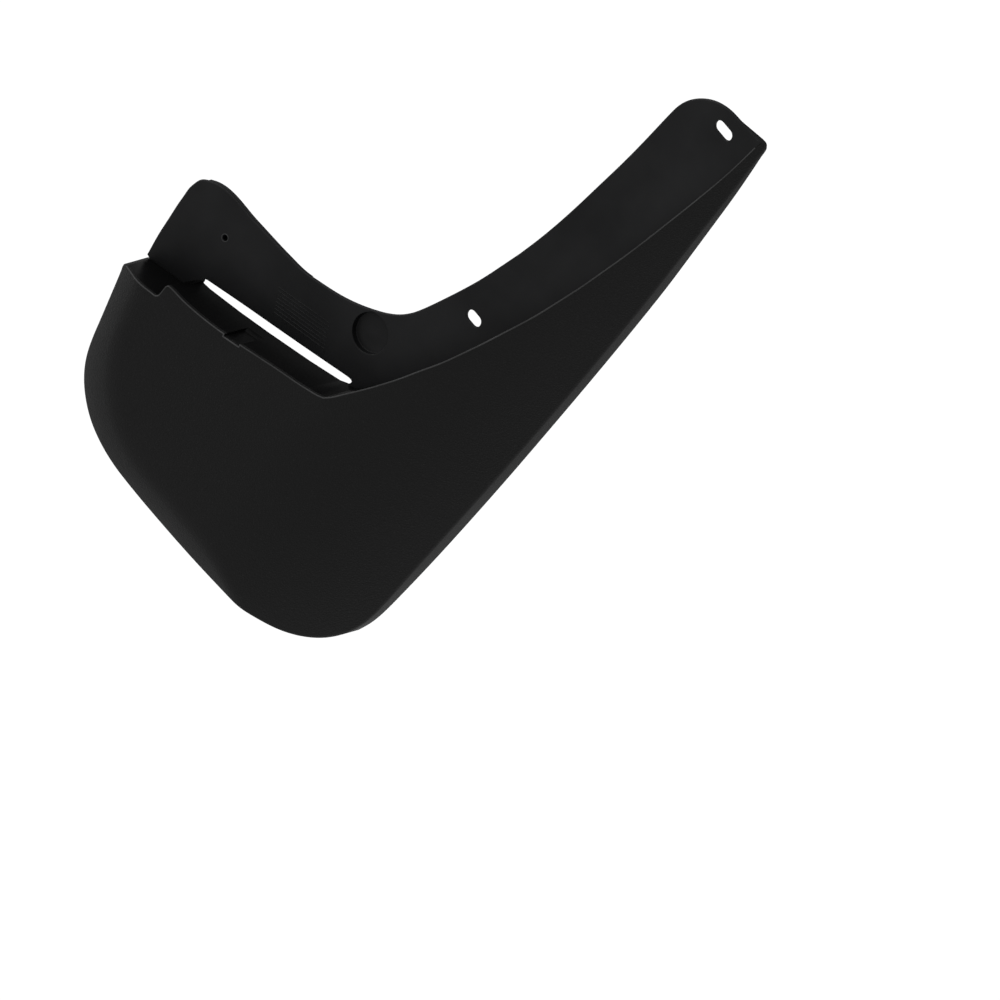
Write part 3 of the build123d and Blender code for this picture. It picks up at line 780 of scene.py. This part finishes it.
# Turned-back lip behind the free edge, growing towards the inboard corner.
lip_curve = spline(FREE_LOW)
lip_sections = []
for edge_point, side in zip(lip_curve, normals(lip_curve, closed=False)):
    if edge_point[0] > -92.0:
        continue
    depth = float(np.interp(edge_point[0], [-150.0, -101.0, -90.0], [LIP_DEPTH, 0.5, 0.05]))
    far = edge_point - side * LIP_T
    front, back, r = FLANGE_T - 1.3, FLANGE_T + depth, min(0.5, depth * 0.5)
    rows = [(edge_point, front), (edge_point, back - r), (edge_point - side * r, back),
            (far + side * r, back), (far, back - r), (far, front)]
    lip_sections.append([(x, y, z) for (x, z), y in rows])
lip = sweep("flange_turned_lip", lip_sections)
place(lip, smooth, "smooth_plastic", "flange_lip")

# Locating cup: a shallow round well behind the flange.
cup_back, cup_outer = CUP_DEPTH + CUP_FLOOR, CUP_R + CUP_WALL
CUP_CHAMFER, CUP_FILLET = 0.9, 0.6
cup_profile = [(cup_outer, FLANGE_T - SINK), (cup_outer, cup_back - CUP_CHAMFER),
               (cup_outer - CUP_CHAMFER, cup_back), (0.01, cup_back), (0.01, CUP_DEPTH),
               (CUP_R * 0.5, CUP_DEPTH)]
for angle in np.radians((90, 67.5, 45, 22.5, 0)):
    cup_profile.append((CUP_R - CUP_FILLET * (1 - math.cos(angle)),
                        CUP_DEPTH - CUP_FILLET * (1 - math.sin(angle))))
cup_profile.append((CUP_R, FLANGE_T - SINK))
cup = revolve("locating_cup_well", cup_profile, CUP_CENTRE, 96)
place(cup, smooth, "smooth_plastic", "locating_cup")

# Pilot boss behind the flange, and a fine raised rim round the hole's mouth, in painted highlight
# colour.
boss_back, BOSS_TAPER, BOSS_CHAMFER = PILOT_DEPTH + BOSS_END, 0.2, 0.4
boss = revolve("pilot_boss_post", [
    (BOSS_R + 0.3, FLANGE_T - SINK), (BOSS_R, FLANGE_T + 1.0),
    (BOSS_R - BOSS_TAPER, boss_back - BOSS_CHAMFER),
    (BOSS_R - BOSS_TAPER - BOSS_CHAMFER, boss_back),
    (0.01, boss_back), (0.01, PILOT_DEPTH), (PILOT_R - 0.2, PILOT_DEPTH),
    (PILOT_R, PILOT_DEPTH - 0.3), (PILOT_R, FLANGE_T - SINK)], PILOT_CENTRE, 40)
MOUTH_R, MOUTH_BEAD_R, MOUTH_Y = PILOT_R + 0.6, 0.33, 0.12
mouth = revolve("pilot_hole_rim",
                [(MOUTH_R + MOUTH_BEAD_R * math.cos(a), MOUTH_Y - MOUTH_BEAD_R * math.sin(a))
                 for a in np.radians(np.arange(-60, 241, 30))], PILOT_CENTRE, 40)
# the rim takes the light bead colour: a painted highlight ring round the hole
place(mouth, painted_highlight, "smooth_plastic")
place(boss, smooth, "smooth_plastic", "pilot_boss")

# ------------------------------------------------------------------- date grid
# A blank calendar grid in fine raised lines: long rows, and fainter short columns.
TOP_IN, TOP_OUT, LOW_OUT, LOW_IN = np.array(
    [(-103.8, -85.0), (-66.1, -74.5), (-56.0, -92.4), (-94.4, -102.3)])
# ridge section as (across in half widths, y in heights)
RIDGE = [(1.0, 0.05), (1.0, 0.0), (0.6, -0.65), (0.0, -1.0), (-0.6, -0.65), (-1.0, 0.0),
         (-1.0, 0.05)]


def ridge(start, end, half, height):
    """A low rounded ridge from start to end, tapered at both ends."""
    along = (end - start) / np.hypot(*(end - start))
    side = np.array([along[1], -along[0]])
    sections = []
    for (x, z), size in ((start - along * half, 0.15), (start + along * half * 0.5, 1.0),
                         (end - along * half * 0.5, 1.0), (end + along * half, 0.15)):
        sections.append([(x + side[0] * half * across * size,
                          y * height * size + (0.02 if y > 0 else 0.0),
                          z + side[1] * half * across * size) for across, y in RIDGE])
    return sections


ROWS, COLUMNS = 9, 12
ridges = []
for i in range(1, ROWS):
    share = i / ROWS
    ridges.append(ridge(TOP_IN + (LOW_IN - TOP_IN) * share,
                        TOP_OUT + (LOW_OUT - TOP_OUT) * share, half=0.26, height=0.20))
for i in range(COLUMNS + 1):
    share = i / COLUMNS
    gap = 0.0 if i in (0, COLUMNS) else 0.04    # inner columns start a little lower
    ridges.append(ridge(TOP_IN + (TOP_OUT - TOP_IN) * share + (LOW_IN - TOP_IN) * gap,
                        LOW_IN + (LOW_OUT - LOW_IN) * share, half=0.15, height=0.07))
date_grid = sweep("date_grid_ridges", *ridges)
place(date_grid, smooth, "smooth_plastic", "date_grid")

# -------------------------------------------------------- CAD node kept as made
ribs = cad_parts["stiffening_ribs"]
ribs.data.materials.clear()
ribs.data.materials.append(walls)


# ------------------------------------------------------------------------ stage
def split_by_camera(tree, output_kind, lit, seen):
    """Shows the camera one shader, and lights the scene with the other."""
    path = add_node(tree, "ShaderNodeLightPath", {})
    both = add_node(tree, "ShaderNodeMixShader", {
        0: path.outputs["Is Camera Ray"], 1: lit.outputs[0], 2: seen.outputs[0]})
    add_node(tree, output_kind, {0: both.outputs[0]})


def floor_material(name, seen, lit, lit_front, lit_behind):
    """Bright to the camera; as a light, strongest under the flap. lit_front is the strength
    in front of it, lit_behind the share of lit left further back."""
    mat = bpy.data.materials.new(name)
    tree = empty_tree(mat)
    seen_glow = add_node(tree, "ShaderNodeEmission", {"Strength": seen})
    lit_glow = add_node(tree, "ShaderNodeEmission", {"Strength": lit})
    position = add_node(tree, "ShaderNodeNewGeometry", {}).outputs["Position"]
    y = add_node(tree, "ShaderNodeSeparateXYZ", {0: position}).outputs[1]
    rise = map_range(tree, y, source=(-0.10, 0.06), target=(lit_front, lit),
                     interpolation_type="SMOOTHSTEP")
    fall = map_range(tree, y, source=(0.03, 0.25), target=(1.0, lit_behind),
                     interpolation_type="SMOOTHSTEP")
    strength = add_node(tree, "ShaderNodeMath", {0: rise, 1: fall}, operation="MULTIPLY")
    tree.links.new(strength.outputs[0], lit_glow.inputs["Strength"])
    split_by_camera(tree, "ShaderNodeOutputMaterial", lit_glow, seen_glow)
    return mat


FLOOR_GAP = 0.001
bpy.ops.mesh.primitive_plane_add(size=60, location=(0, 0, float(cad_lo[2]) - FLOOR_GAP))
floor = bpy.context.active_object
floor.name = "studio_floor"
floor.data.materials.append(
    floor_material("floor_white", seen=1.05, lit=0.55, lit_front=0.26, lit_behind=0.62))

world = bpy.data.worlds.new("studio")
bpy.context.scene.world = world
world_tree = empty_tree(world)
world_lit = add_node(world_tree, "ShaderNodeBackground", {"Strength": 0.25})
world_seen = add_node(world_tree, "ShaderNodeBackground", {"Strength": 1.05})
split_by_camera(world_tree, "ShaderNodeOutputWorld", world_lit, world_seen)

# camera axes: right, up and back towards the camera
RIGHT = Vector((0.62078, 0.54689, 0.56174))
UP = Vector((-0.73440, 0.15486, 0.66081))
BACK = Vector((0.27440, -0.82276, 0.49777))
TARGET = Vector((0.08689, -0.00786, -0.06090))


def softbox(name, direction, dist, size, power):
    """A square light on the given side of the origin, facing it."""
    light = bpy.data.lights.new(name, "AREA")
    light.shape = "SQUARE"
    light.size = size
    light.energy = power
    ob = bpy.data.objects.new(name, light)
    bpy.context.scene.collection.objects.link(ob)
    toward = Vector(direction).normalized()
    ob.location = toward * dist
    ob.rotation_mode = "QUATERNION"
    ob.rotation_quaternion = toward.to_track_quat("Z", "Y")
    ob.visible_camera = False


softbox("key_softbox", -0.75 * RIGHT + 0.45 * UP + 0.5 * BACK, dist=2.2, size=1.6, power=2.2)
softbox("fill_softbox", 0.8 * RIGHT + 0.2 * UP + 0.6 * BACK, dist=2.4, size=1.6, power=1.4)
# one light inboard and one above draw the light lines along the edges
softbox("side_card", (-0.985, 0.05, -0.05), dist=1.9, size=1.3, power=5.0)
softbox("upper_softbox", (-0.62, -0.30, 0.72), dist=2.2, size=1.2, power=4.5)

# ----------------------------------------------------------------------- camera
# A parallel view that frames the whole flap.
CAMERA_DIST = 2.0
cam_data = bpy.data.cameras.new("camera")
cam_data.type = "ORTHO"
cam_data.ortho_scale = 0.58
cam_data.clip_start = 0.05
cam_data.clip_end = 60.0
cam = bpy.data.objects.new("camera", cam_data)
bpy.context.scene.collection.objects.link(cam)
turn = Matrix((RIGHT, UP, BACK)).transposed().to_4x4()
cam.matrix_world = Matrix.Translation(TARGET + BACK * CAMERA_DIST) @ turn
bpy.context.scene.camera = cam

bpy.context.scene.view_settings.view_transform = "Standard"
bpy.context.scene.view_settings.look = "None"

bpy.context.view_layer.update()
